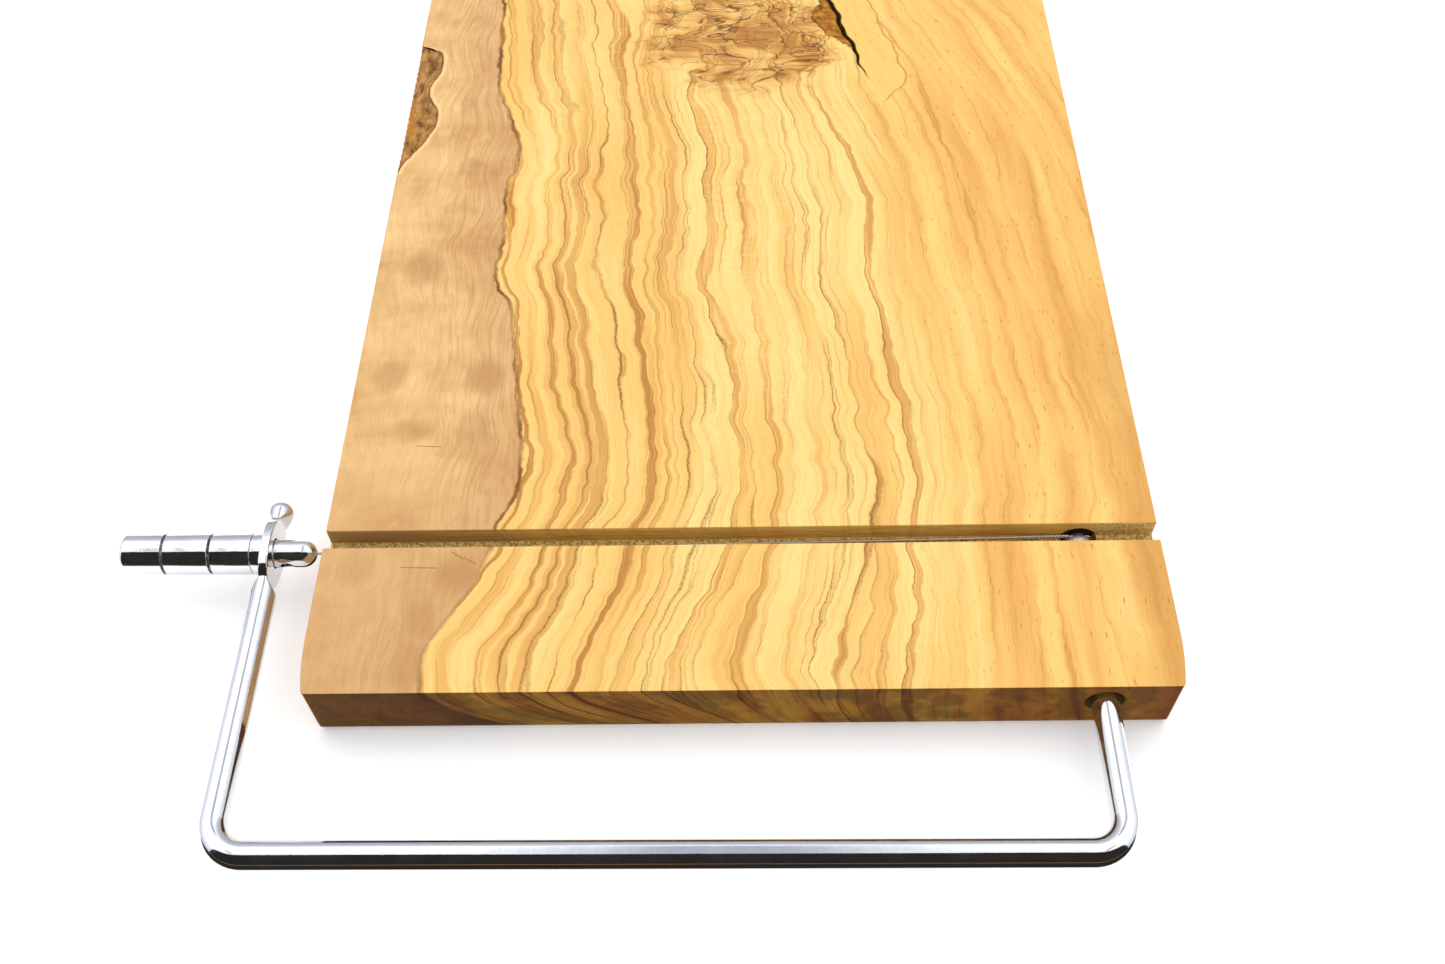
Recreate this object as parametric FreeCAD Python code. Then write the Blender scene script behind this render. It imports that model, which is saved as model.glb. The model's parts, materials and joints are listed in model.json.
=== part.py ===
import FreeCAD, Part
import math
import os

# A cheese board with a wire bow. The rod of the bow turns in a bore in the front block of the board,
# its wire comes down into a groove across the board, and a threaded handle draws a stud through a
# forged eye to tighten the wire. Millimetres; the origin is the middle of the board's underside,
# +X runs along the wire towards the bore, +Y away from the bow's crossbar, +Z up.

# Board.
board_width = 200.0
board_length = 300.0
board_thickness = 18.0
side_round_height = 9.0
side_round_depth = 2.0
end_round_height = 3.0
end_round_depth = 0.8
corner_ease_length = 14.0
corner_ease_depth = 1.3
corner_break = 0.8

# Cutting groove across the board, measured from the front face to its near wall.
groove_setback = 39.0
groove_width = 4.8
groove_depth = 5.2

# Bore for the bow, from the front face into the far wall of the groove.
bore_inset = 18.0
bore_below_top = 6.7
bore_mouth_flare = 1.35
bore_mouth_length = 5.0
pocket_clearance = 1.45
pocket_beyond_groove = 1.9
tip_end_gap = 0.8

# Bow: a round rod bent to a U, with a forged eye at its left end.
rod_radius = 3.15
rod_bore_clearance = 0.10
bend_radius = 8.0
crossbar_standoff = 35.4
eye_thickness = 2.3
eye_end_wall = 5.97
eye_side_wall = 2.57
eye_shoulder_length = 2.8
stub_length = 1.3
stud_eye_clearance = 0.31

# Wire, and the hole near the rod's tip that its loop goes through.
wire_radius = 0.25
wire_hole_clearance = 0.15
wire_far_wall_gap = 0.72
wire_floor_gap = 0.25
twist_floor_gap = 0.20
loop_gap = 0.05
twist_length = 13.0
neck_twist_length = 2.2
stud_behind_near_wall = 1.55

# Tension stud.
nose_radius = 3.32
nose_reach = 11.0
nose_board_gap = 2.7
shank_radius = 2.90
shank_length = 23.0
stud_travel = 2.0
nose_bore_clearance = 0.20
anchor_hole_radius = 1.80
anchor_hole_from_tip = 6.9
anchor_hole_past_axis = 1.4
anchor_hole_dip = 20.0
keyhole_clearance = 0.15

# Ferrule pressed on the wire's end inside the stud.
ferrule_radius = 0.95
ferrule_end_play = 0.54
ferrule_bore_clearance = 0.15
ferrule_seat_gap = 0.05
wire_tail = 0.6

# Thrust collar and handle.
handle_radius = 5.1
handle_length = 31.4
handle_joint_gap = 0.10
handle_thread_clearance = 0.08
handle_bore_spare = 3.0
handle_edge_radius = 1.0
handle_inner_edge = 0.3
groove_one_from_joint = 10.4
groove_two_from_joint = 21.7
grip_groove_width = 1.3
grip_groove_depth = 0.6
collar_length = 2.8
collar_edge = 0.15

# A little extra length on every cutting solid.
over = 1.0

# Places worked out from the sizes above.
front_y = -board_length / 2
near_wall_y = front_y + groove_setback
far_wall_y = near_wall_y + groove_width
floor_z = board_thickness - groove_depth
pivot_x = board_width / 2 - bore_inset
pivot_z = board_thickness - bore_below_top
pocket_radius = rod_radius + pocket_clearance
leg_spacing = pivot_x + board_width / 2 + nose_board_gap + nose_reach
crossbar_y = front_y - crossbar_standoff
tip_y = far_wall_y + pocket_beyond_groove - tip_end_gap
stud_y = near_wall_y + stud_behind_near_wall
loop_y = far_wall_y - wire_far_wall_gap
twist_radius = 2 * wire_radius
wire_hole_rise = floor_z + twist_floor_gap + twist_radius - pivot_z
nose_tip_x = -leg_spacing + nose_reach
loop_radius = rod_radius + loop_gap + wire_radius
loop_half_width = math.sqrt(loop_radius ** 2 - wire_hole_rise ** 2)
eye_bore_radius = nose_radius + stud_eye_clearance
eye_half_length = eye_bore_radius + eye_end_wall
eye_half_height = eye_bore_radius + eye_side_wall
eye_outer_x = -leg_spacing - eye_thickness / 2
collar_end_x = eye_outer_x - collar_length
handle_end_x = collar_end_x - handle_joint_gap
anchor_x = nose_tip_x - anchor_hole_from_tip
ferrule_reach = math.sqrt((anchor_hole_radius - ferrule_seat_gap) ** 2 - ferrule_radius ** 2)
ferrule_right_x = anchor_x + ferrule_reach
ferrule_left_x = anchor_x - ferrule_reach + ferrule_end_play

X = FreeCAD.Vector(1, 0, 0)
Y = FreeCAD.Vector(0, 1, 0)
Z = FreeCAD.Vector(0, 0, 1)


def point(x, y, z):
    return FreeCAD.Vector(x, y, z)


def prism(points, direction):
    """A solid from a closed outline of straight runs, pushed along direction."""
    return Part.Face(Part.makePolygon(points + points[:1])).extrude(direction)


def line(start, end):
    return Part.LineSegment(start, end).toShape()


def arc(start, middle, end):
    return Part.Arc(start, middle, end).toShape()


def rod_between(start, end, radius):
    """A round bar from start to end."""
    run = end - start
    return Part.makeCylinder(radius, run.Length, start, run)


def fuse_all(shapes):
    return shapes[0].multiFuse(shapes[1:]).removeSplitter()


def swing_tilt():
    """Angle that holds the wire clear of the groove's floor at the board's left edge, in degrees."""
    reach = pivot_x + board_width / 2
    wire_run = -nose_tip_x - loop_half_width
    wire_rise = wire_hole_rise * (-nose_tip_x - reach) / wire_run
    lift = floor_z + wire_radius + wire_floor_gap - pivot_z - wire_rise
    return math.degrees(math.asin(lift / reach))


def place_on_bow(shape):
    """Take a shape from the bow's own flat frame to its resting place on the board."""
    shape.rotate(point(0, 0, 0), Y, swing_tilt())
    shape.translate(point(pivot_x, 0, pivot_z))
    return shape


def side_profile(half_width, round_height, round_depth, along, span):
    """The board's end section: straight upper sides that curve in towards the underside."""
    radius = (round_height ** 2 + round_depth ** 2) / (2 * round_depth)
    mid_height = round_height / 2
    mid_depth = radius - math.sqrt(radius ** 2 - (round_height - mid_height) ** 2)
    corners = []
    for side in (-1, 1):
        corners.append([
            along * (side * half_width) + Z * board_thickness,
            along * (side * half_width) + Z * round_height,
            along * (side * (half_width - mid_depth)) + Z * mid_height,
            along * (side * (half_width - round_depth)),
        ])
    left, right = corners
    edges = [
        line(left[0], left[1]),
        arc(left[1], left[2], left[3]),
        line(left[3], right[3]),
        arc(right[3], right[2], right[1]),
        line(right[1], right[0]),
        line(right[0], left[0]),
    ]
    solid = Part.Face(Part.Wire(edges)).extrude(span)
    solid.translate(span * -0.5)
    return solid


def board_plan():
    """The board's outline from above, eased in towards its front corners."""
    half = board_width / 2
    ease_y = front_y + corner_ease_length
    break_y = front_y + corner_break
    ease_x = half - corner_ease_depth
    run = ease_y - break_y
    radius = (run ** 2 + corner_ease_depth ** 2) / (2 * corner_ease_depth)
    mid_x = half - radius + math.sqrt(radius ** 2 - (run / 2) ** 2)
    mid_y = ease_y - run / 2
    edges = [
        line(point(-half, -front_y, 0), point(-half, ease_y, 0)),
        arc(point(-half, ease_y, 0), point(-mid_x, mid_y, 0), point(-ease_x, break_y, 0)),
        line(point(-ease_x, break_y, 0), point(corner_break - ease_x, front_y, 0)),
        line(point(corner_break - ease_x, front_y, 0), point(ease_x - corner_break, front_y, 0)),
        line(point(ease_x - corner_break, front_y, 0), point(ease_x, break_y, 0)),
        arc(point(ease_x, break_y, 0), point(mid_x, mid_y, 0), point(half, ease_y, 0)),
        line(point(half, ease_y, 0), point(half, -front_y, 0)),
        line(point(half, -front_y, 0), point(-half, -front_y, 0)),
    ]
    return Part.Face(Part.Wire(edges)).extrude(Z * board_thickness)


def board():
    """Wooden board with the cutting groove and the bore that the bow turns in."""
    solid = board_plan()
    solid = solid.common(side_profile(board_width / 2, side_round_height, side_round_depth,
                                      X, Y * (board_length + 2 * over)))
    solid = solid.common(side_profile(board_length / 2, end_round_height, end_round_depth,
                                      Y, X * (board_width + 2 * over)))
    groove = Part.makeBox(board_width + 2 * over, groove_width, groove_depth + over,
                          point(-board_width / 2 - over, near_wall_y, floor_z))
    bore = rod_between(point(pivot_x, front_y - over, pivot_z), point(pivot_x, near_wall_y + over, pivot_z),
                       rod_radius + rod_bore_clearance)
    mouth = Part.makeCone(rod_radius + bore_mouth_flare, rod_radius + rod_bore_clearance,
                          bore_mouth_length, point(pivot_x, front_y, pivot_z), Y)
    pocket = rod_between(point(pivot_x, near_wall_y, pivot_z),
                         point(pivot_x, far_wall_y + pocket_beyond_groove, pivot_z), pocket_radius)
    return solid.cut(groove).cut(bore).cut(mouth).cut(pocket)


def bent_rod():
    """The U of round rod, from its domed tip in the board round to the start of the eye."""
    left = -leg_spacing
    bend = bend_radius
    corner = bend * (1 - math.sqrt(0.5))
    dome_y = tip_y - rod_radius
    edges = [
        line(point(0, dome_y, 0), point(0, crossbar_y + bend, 0)),
        arc(point(0, crossbar_y + bend, 0), point(-corner, crossbar_y + corner, 0),
            point(-bend, crossbar_y, 0)),
        line(point(-bend, crossbar_y, 0), point(left + bend, crossbar_y, 0)),
        arc(point(left + bend, crossbar_y, 0), point(left + corner, crossbar_y + corner, 0),
            point(left, crossbar_y + bend, 0)),
        line(point(left, crossbar_y + bend, 0), point(left, stud_y - eye_half_length - over, 0)),
    ]
    section = Part.Wire([Part.makeCircle(rod_radius, point(0, dome_y, 0), Y)])
    pipe = Part.Wire(edges).makePipeShell([section], True, False)
    tip = Part.makeSphere(rod_radius, point(0, dome_y, 0))
    return pipe.fuse(tip)


def forged_eye():
    """Flattened eye with its stub of round rod, as forged on the end of the left leg."""
    thin = eye_thickness / 2
    wide = rod_radius + over
    slope = wide - thin
    rise = eye_shoulder_length * slope / (rod_radius - thin)
    flat = eye_half_length - over
    far = flat + stub_length + rod_radius + eye_shoulder_length + over
    near = flat + rise + over
    half_outline = [
        (wide, -near),
        (wide, -flat - rise),
        (thin, -flat),
        (thin, flat),
        (wide, flat + rise),
        (wide, far),
    ]
    outline = [point(x, y, 0) for x, y in half_outline]
    outline += [point(-x, y, 0) for x, y in reversed(half_outline)]
    envelope = prism(outline, Z * (2 * eye_half_height + 2 * over))
    envelope.translate(Z * (-eye_half_height - over))
    ellipse = Part.Ellipse(point(0, 0, 0), eye_half_length, eye_half_height)
    disc = Part.Face(Part.Wire([ellipse.toShape()])).extrude(Z * (2 * rod_radius))
    disc.translate(Z * -rod_radius)
    disc.rotate(point(0, 0, 0), Z, 90)
    disc.rotate(point(0, 0, 0), Y, 90)
    stub_end = flat + eye_shoulder_length + stub_length - over
    bar = rod_between(point(0, -near, 0), point(0, stub_end, 0), rod_radius)
    ball = Part.makeSphere(rod_radius, point(0, stub_end, 0))
    eye = fuse_all([disc, bar, ball]).common(envelope)
    hole = rod_between(point(-wide, 0, 0), point(wide, 0, 0), eye_bore_radius)
    eye = eye.cut(hole)
    eye.translate(point(-leg_spacing, stud_y, 0))
    return eye


def bow():
    """Bent rod, forged eye and the cross hole that the wire is looped through."""
    hole = rod_between(point(-rod_radius - over, loop_y, wire_hole_rise),
                       point(rod_radius + over, loop_y, wire_hole_rise),
                       wire_radius + wire_hole_clearance)
    return place_on_bow(fuse_all([bent_rod(), forged_eye()]).cut(hole))


def wire_loop():
    """Loop of wire through the rod's cross hole and back over its crown."""
    ends = []
    for side in (-1, 1):
        ends.append(point(side * loop_half_width, loop_y, wire_hole_rise))
    spread = math.degrees(math.atan2(loop_half_width, wire_hole_rise))
    crown = Part.makeTorus(loop_radius, wire_radius, point(0, 0, 0), Z, -180, 180, 2 * spread)
    crown.rotate(point(0, 0, 0), Z, 90 - spread)
    crown.rotate(point(0, 0, 0), X, 90)
    crown.translate(point(0, loop_y, 0))
    shapes = [crown, rod_between(ends[0], ends[1], wire_radius)]
    shapes += [Part.makeSphere(wire_radius, end) for end in ends]
    return shapes


def cutting_wire():
    """Wire from the rod's cross hole through the stud's nose to the ferrule."""
    right = point(-loop_half_width, loop_y, wire_hole_rise)
    left = point(nose_tip_x + neck_twist_length, stud_y, 0)
    run = (left - right).normalize()
    tail = point(ferrule_left_x - wire_tail, stud_y, 0)
    shapes = wire_loop()
    shapes.append(rod_between(right, left, wire_radius))
    shapes.append(rod_between(right, right + run * twist_length, twist_radius))
    shapes.append(Part.makeSphere(twist_radius, right + run * twist_length))
    shapes.append(Part.makeSphere(twist_radius, left))
    shapes.append(rod_between(left, point(nose_tip_x - over, stud_y, 0), twist_radius))
    shapes.append(rod_between(left, tail, wire_radius))
    return place_on_bow(fuse_all(shapes))


def wire_ferrule():
    """Small barrel that stops the wire's end inside the stud."""
    start = point(ferrule_left_x, stud_y, 0)
    end = point(ferrule_right_x, stud_y, 0)
    barrel = rod_between(start, end, ferrule_radius)
    bore = rod_between(start - X * over, end + X * over, wire_radius + ferrule_bore_clearance)
    return place_on_bow(barrel.cut(bore))


def tension_stud():
    """Round-nosed stud with a keyhole for the wire and a shank that screws into the handle."""
    dome_x = nose_tip_x - nose_radius
    shoulder_x = eye_outer_x - collar_length / 2
    nose = rod_between(point(shoulder_x, 0, 0), point(dome_x, 0, 0), nose_radius)
    dome = Part.makeSphere(nose_radius, point(dome_x, 0, 0))
    shank = rod_between(point(shoulder_x - shank_length, 0, 0), point(shoulder_x, 0, 0), shank_radius)
    reach = nose_radius + over
    keyhole_width = 2 * (twist_radius + keyhole_clearance)
    anchor = rod_between(point(anchor_x, anchor_hole_past_axis, 0), point(anchor_x, -reach, 0),
                         anchor_hole_radius)
    slot = Part.makeBox(anchor_hole_from_tip + over, reach, keyhole_width,
                        point(anchor_x, -reach, -keyhole_width / 2))
    bore = rod_between(point(anchor_x - anchor_hole_radius - stud_travel, 0, 0),
                       point(nose_tip_x + over, 0, 0), twist_radius + nose_bore_clearance)
    keyhole = fuse_all([anchor, slot, bore])
    keyhole.rotate(point(0, 0, 0), X, anchor_hole_dip)
    stud = fuse_all([nose, dome, shank]).cut(keyhole)
    stud.translate(point(0, stud_y, 0))
    return place_on_bow(stud)


def turned(outline):
    """A turned piece on the stud's line, from its (x, radius) outline."""
    profile = [point(x, radius, 0) for x, radius in outline]
    face = Part.Face(Part.makePolygon(profile + profile[:1]))
    solid = face.revolve(point(0, 0, 0), X, 360)
    solid.translate(point(0, stud_y, 0))
    return solid


def thrust_collar():
    """Ring between the eye and the handle that takes the pull of the wire."""
    outline = [
        (eye_outer_x, eye_bore_radius),
        (eye_outer_x, handle_radius - collar_edge),
        (eye_outer_x - collar_edge, handle_radius),
        (collar_end_x + collar_edge, handle_radius),
        (collar_end_x, handle_radius - collar_edge),
        (collar_end_x, eye_bore_radius),
    ]
    return place_on_bow(turned(outline))


def handle():
    """Turned handle with two grip grooves, bored blind for the stud's shank."""
    far_x = handle_end_x - handle_length
    bore_radius = shank_radius + handle_thread_clearance
    bore_end_x = eye_outer_x - collar_length / 2 - shank_length - handle_bore_spare
    grip_floor = handle_radius - grip_groove_depth
    outline = [
        (bore_end_x, 0),
        (bore_end_x, bore_radius),
        (handle_end_x, bore_radius),
        (handle_end_x, handle_radius - handle_inner_edge),
        (handle_end_x - handle_inner_edge, handle_radius),
    ]
    for from_joint in (groove_one_from_joint, groove_two_from_joint):
        near_x = handle_end_x - from_joint + grip_groove_width / 2
        far_groove_x = near_x - grip_groove_width
        outline += [(near_x, handle_radius), (near_x, grip_floor)]
        outline += [(far_groove_x, grip_floor), (far_groove_x, handle_radius)]
    outline += [(far_x, handle_radius), (far_x, 0)]
    solid = turned(outline)
    rim = [edge for edge in solid.Edges if is_end_rim(edge, far_x)]
    return place_on_bow(solid.makeFillet(handle_edge_radius, rim))


def is_end_rim(edge, x):
    """True for the round outer edge at the handle's free end."""
    box = edge.BoundBox
    return abs(box.XMin - x) < 0.01 and abs(box.XMax - x) < 0.01 and box.ZLength > handle_radius


pieces = {
    "board": board,
    "bow": bow,
    "thrust_collar": thrust_collar,
    "handle": handle,
    "tension_stud": tension_stud,
    "wire_ferrule": wire_ferrule,
    "cutting_wire": cutting_wire,
}

os.makedirs("parts", exist_ok=True)
for name, make in pieces.items():
    shape = make()
    shape.exportStep("parts/" + name + ".step")
    print(name, shape.ShapeType, len(shape.Solids), shape.isValid(), round(shape.Volume, 1), shape.BoundBox)
print("tilt of the bow at rest, degrees:", round(swing_tilt(), 4))
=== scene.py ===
import bmesh
import bpy
import json
import math
from mathutils import Matrix, Vector


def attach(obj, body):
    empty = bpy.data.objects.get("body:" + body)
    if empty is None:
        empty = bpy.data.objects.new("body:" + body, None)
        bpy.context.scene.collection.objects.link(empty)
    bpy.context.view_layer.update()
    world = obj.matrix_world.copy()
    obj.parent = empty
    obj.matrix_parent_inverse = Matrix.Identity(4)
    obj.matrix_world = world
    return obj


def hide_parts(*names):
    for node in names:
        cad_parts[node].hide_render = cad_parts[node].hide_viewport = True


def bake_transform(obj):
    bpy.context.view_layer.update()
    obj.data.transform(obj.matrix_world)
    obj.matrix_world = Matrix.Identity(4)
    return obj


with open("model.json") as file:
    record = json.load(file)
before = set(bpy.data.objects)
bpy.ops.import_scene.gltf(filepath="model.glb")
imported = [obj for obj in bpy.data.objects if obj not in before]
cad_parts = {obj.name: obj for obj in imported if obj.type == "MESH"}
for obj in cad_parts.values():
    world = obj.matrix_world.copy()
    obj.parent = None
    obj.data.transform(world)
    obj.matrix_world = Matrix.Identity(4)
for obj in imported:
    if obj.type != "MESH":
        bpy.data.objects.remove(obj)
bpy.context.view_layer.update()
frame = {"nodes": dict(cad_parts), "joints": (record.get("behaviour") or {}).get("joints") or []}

nodes = frame["nodes"]


# View and studio. A camera stands over the bow's crossbar and looks down at the board, which lies on
# a white table under a broad overhead light. Black cloth in front and grey cards behind and above are
# there for the chrome to mirror, and don't show otherwise.
camera_pitch = 0.94563
camera_yaw = -0.026318
camera_roll = -0.032585
camera_spot = (0.001237, -0.295185, 0.298512)
camera = bpy.data.objects.new("camera", bpy.data.cameras.new("camera"))
camera.data.lens = 35.0
camera.data.sensor_width = 36.0
camera.data.clip_start = 0.01
camera.matrix_world = (
    Matrix.Translation(camera_spot)
    @ Matrix.Rotation(-camera_yaw, 4, "Z")
    @ Matrix.Rotation(math.pi / 2 - camera_pitch, 4, "X")
    @ Matrix.Rotation(camera_roll, 4, "Z")
)
bpy.context.scene.collection.objects.link(camera)
bpy.context.scene.camera = camera
bpy.context.scene.view_settings.view_transform = "Standard"


def tone(red, green, blue):
    """A colour as seen on a screen, 0 to 255, as the linear colour that the shaders work in."""
    channels = []
    for value in (red, green, blue):
        share = value / 255.0
        channels.append(share / 12.92 if share <= 0.04045 else ((share + 0.055) / 1.055) ** 2.4)
    return (*channels, 1.0)


class Finish:
    """A surface finish, laid out as a sheet of shader nodes."""

    def __init__(self, name):
        self.material = bpy.data.materials.new(name)
        self.material.use_nodes = True
        self.tree = self.material.node_tree
        self.tree.nodes.clear()
        self.place = self.tree.nodes.new("ShaderNodeTexCoord").outputs["Object"]

    def put(self, socket, value):
        """Wire another node's output to a socket, or set the number or colour on it."""
        if isinstance(value, bpy.types.NodeSocket):
            self.tree.links.new(value, socket)
        else:
            socket.default_value = value

    def math(self, operation, *values, clamp=False):
        node = self.tree.nodes.new("ShaderNodeMath")
        node.operation = operation
        node.use_clamp = clamp
        for socket, value in zip(node.inputs, values):
            self.put(socket, value)
        return node.outputs[0]

    def add(self, *values):
        total = values[0]
        for value in values[1:]:
            total = self.math("ADD", total, value)
        return total

    def times(self, *values):
        total = values[0]
        for value in values[1:]:
            total = self.math("MULTIPLY", total, value)
        return total

    def less(self, first, second):
        return self.math("SUBTRACT", first, second)

    def split(self, vector):
        node = self.tree.nodes.new("ShaderNodeSeparateXYZ")
        self.put(node.inputs[0], vector)
        return node.outputs[0], node.outputs[1], node.outputs[2]

    def join(self, x, y, z):
        node = self.tree.nodes.new("ShaderNodeCombineXYZ")
        for socket, value in zip(node.inputs, (x, y, z)):
            self.put(socket, value)
        return node.outputs[0]

    def in_millimetres(self):
        """Places on the piece, in millimetres."""
        node = self.tree.nodes.new("ShaderNodeVectorMath")
        node.operation = "SCALE"
        self.put(node.inputs[0], self.place)
        node.inputs["Scale"].default_value = 1000.0
        return node.outputs[0]

    def noise(self, x, y, z, steps, detail=1.0, roughness=0.5):
        """Noise whose features are about steps long along each axis."""
        node = self.tree.nodes.new("ShaderNodeTexNoise")
        vector = self.join(*[self.times(value, 1.0 / step) for value, step in zip((x, y, z), steps)])
        self.put(node.inputs["Vector"], vector)
        node.inputs["Scale"].default_value = 1.0
        node.inputs["Detail"].default_value = detail
        node.inputs["Roughness"].default_value = roughness
        return node.outputs["Fac"]

    def sway(self, noise, amount):
        """Noise moved to run from -amount to amount."""
        return self.times(self.less(noise, 0.5), 2.0 * amount)

    def smooth(self, value, low, high, out_low=0.0, out_high=1.0):
        """A soft step from out_low to out_high as the value goes from low to high."""
        node = self.tree.nodes.new("ShaderNodeMapRange")
        node.interpolation_type = "SMOOTHSTEP"
        for socket, number in zip(node.inputs[:5], (value, low, high, out_low, out_high)):
            self.put(socket, number)
        return node.outputs[0]

    def ramp(self, value, stops):
        """Colours at places from 0 to 1, blended between them."""
        node = self.tree.nodes.new("ShaderNodeValToRGB")
        elements = node.color_ramp.elements
        while len(elements) < len(stops):
            elements.new(0.5)
        for element, (position, colour) in zip(elements, stops):
            element.position = position
            element.color = colour if len(colour) == 4 else (*colour, 1.0)
        self.put(node.inputs[0], value)
        return node.outputs[0]

    def level(self, value, stops):
        """A ramp of plain numbers."""
        return self.ramp(value, [(position, (number,) * 3) for position, number in stops])

    def curve(self, value, points):
        """A soft line through points, read at a value from 0 to 1."""
        node = self.tree.nodes.new("ShaderNodeFloatCurve")
        line = node.mapping.curves[0]
        while len(line.points) < len(points):
            line.points.new(0.5, 0.5)
        for spot, (x, y) in zip(line.points, points):
            spot.location = (x, y)
        node.mapping.update()
        self.put(node.inputs["Value"], value)
        return node.outputs[0]

    def mix(self, factor, low, high, kind="MIX"):
        """The low colour where factor is 0 and the high one where it is 1."""
        node = self.tree.nodes.new("ShaderNodeMix")
        node.data_type = "RGBA"
        node.blend_type = kind
        self.put(node.inputs["Factor"], factor)
        self.put(node.inputs["A"], low)
        self.put(node.inputs["B"], high)
        return node.outputs["Result"]

    def bump(self, height, strength, distance):
        node = self.tree.nodes.new("ShaderNodeBump")
        node.inputs["Strength"].default_value = strength
        node.inputs["Distance"].default_value = distance
        self.put(node.inputs["Height"], height)
        return node.outputs[0]

    def shade(self, **values):
        """The finished material, from the shader's sockets by name."""
        shader = self.tree.nodes.new("ShaderNodeBsdfPrincipled")
        for name, value in values.items():
            self.put(shader.inputs[name.replace("_", " ")], value)
        output = self.tree.nodes.new("ShaderNodeOutputMaterial")
        self.tree.links.new(shader.outputs[0], output.inputs[0])
        return self.material


def show(name, mesh):
    """Put a mesh in the scene as an object at the origin."""
    thing = bpy.data.objects.new(name, mesh)
    bpy.context.scene.collection.objects.link(thing)
    return thing


def sheet(name, corners, material):
    """A flat four-cornered sheet for the studio."""
    mesh = bpy.data.meshes.new(name)
    mesh.from_pydata(corners, [], [(0, 1, 2, 3)])
    mesh.materials.append(material)
    thing = show(name, mesh)
    return thing


def cloth_or_card(name, corners, material):
    """A sheet that only the mirror-bright metal shows."""
    thing = sheet(name, corners, material)
    thing.visible_camera = False
    thing.visible_diffuse = False
    thing.visible_shadow = False


def dull(finish, colour):
    """A matt surface of one colour, or of a colour that the finish's own nodes work out."""
    return finish.shade(Base_Color=colour, Roughness=1.0, Specular_IOR_Level=0.0)


sheet("table", [(-4, -4, -0.0002), (4, -4, -0.0002), (4, 4, -0.0002), (-4, 4, -0.0002)],
      Finish("white_table").shade(Base_Color=tone(252, 252, 252), Roughness=0.9, Specular_IOR_Level=0.0))

black = dull(Finish("black_cloth"), tone(40, 37, 33))
cloth_or_card("hung_cloth", [(-2.2, -1.1, 0), (2.2, -1.1, 0), (2.2, -0.9, 2.2), (-2.2, -0.9, 2.2)], black)
cloth_or_card("laid_cloth", [(-2.2, -1.1, 0), (2.2, -1.1, 0), (2.2, -0.192, 0), (-2.2, -0.192, 0)], black)

card = Finish("grey_card")
_, _, card_height = card.split(card.place)
card_shade = card.ramp(card.times(card_height, 0.48),
                       [(0.0, (0.38, 0.39, 0.42)), (0.34, (0.50, 0.51, 0.54)),
                        (0.50, (0.84, 0.85, 0.87)), (0.56, (0.96, 0.96, 0.97))])
cloth_or_card("standing_card", [(-2.4, 1.5, 0), (2.4, 1.5, 0), (2.4, 0.88, 1.2), (-2.4, 0.88, 1.2)],
              dull(card, card_shade))

batten_grey = dull(Finish("grey_batten"), tone(120, 122, 130))
for name, left, right in (("left_batten", -0.86, -0.80), ("right_batten", 0.72, 0.80)):
    cloth_or_card(name, [(left, -0.6, 1.6), (right, -0.6, 1.6), (right, 2.2, 1.6), (left, 2.2, 1.6)],
                  batten_grey)
cloth_or_card("floor_lath", [(-2.2, -0.262, 0.0006), (2.2, -0.262, 0.0006), (2.2, -0.243, 0.0006),
                             (-2.2, -0.243, 0.0006)], dull(Finish("brown_lath"), tone(150, 112, 78)))

screen = Finish("grey_screen")
screen_x, _, _ = screen.split(screen.place)
screen_shade = screen.ramp(screen.times(screen.math("ABSOLUTE", screen_x), 4.0),
                           [(0.25, (0.44, 0.46, 0.51)), (0.9, (0.96, 0.96, 0.97))])
cloth_or_card("hanging_screen", [(-0.25, -0.58, 1.15), (0.25, -0.58, 1.15), (0.25, 0.80, 1.15),
                                 (-0.25, 0.80, 1.15)], dull(screen, screen_shade))

world = bpy.data.worlds.new("studio")
bpy.context.scene.world = world
world.use_nodes = True
sky = world.node_tree.nodes["Background"]
sky.inputs["Strength"].default_value = 1.36
facing = world.node_tree.nodes.new("ShaderNodeTexCoord")
parts_of = world.node_tree.nodes.new("ShaderNodeSeparateXYZ")
fade = world.node_tree.nodes.new("ShaderNodeValToRGB")
fade.color_ramp.elements[0].color = (0.50, 0.54, 0.62, 1)
fade.color_ramp.elements[1].color = (1.0, 1.0, 1.0, 1)
fade.color_ramp.elements[1].position = 0.55
world.node_tree.links.new(facing.outputs["Generated"], parts_of.inputs[0])
world.node_tree.links.new(parts_of.outputs[2], fade.inputs[0])
world.node_tree.links.new(fade.outputs[0], sky.inputs["Color"])

overhead = bpy.data.objects.new("overhead", bpy.data.lights.new("overhead", "AREA"))
overhead.data.shape = "RECTANGLE"
overhead.data.size = 2.4
overhead.data.size_y = 1.4
overhead.data.energy = 9.0
overhead.matrix_world = Matrix.Translation((0.0, 0.55, 1.7)) @ Matrix.Rotation(math.radians(-18), 4, "X")
bpy.context.scene.collection.objects.link(overhead)


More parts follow.
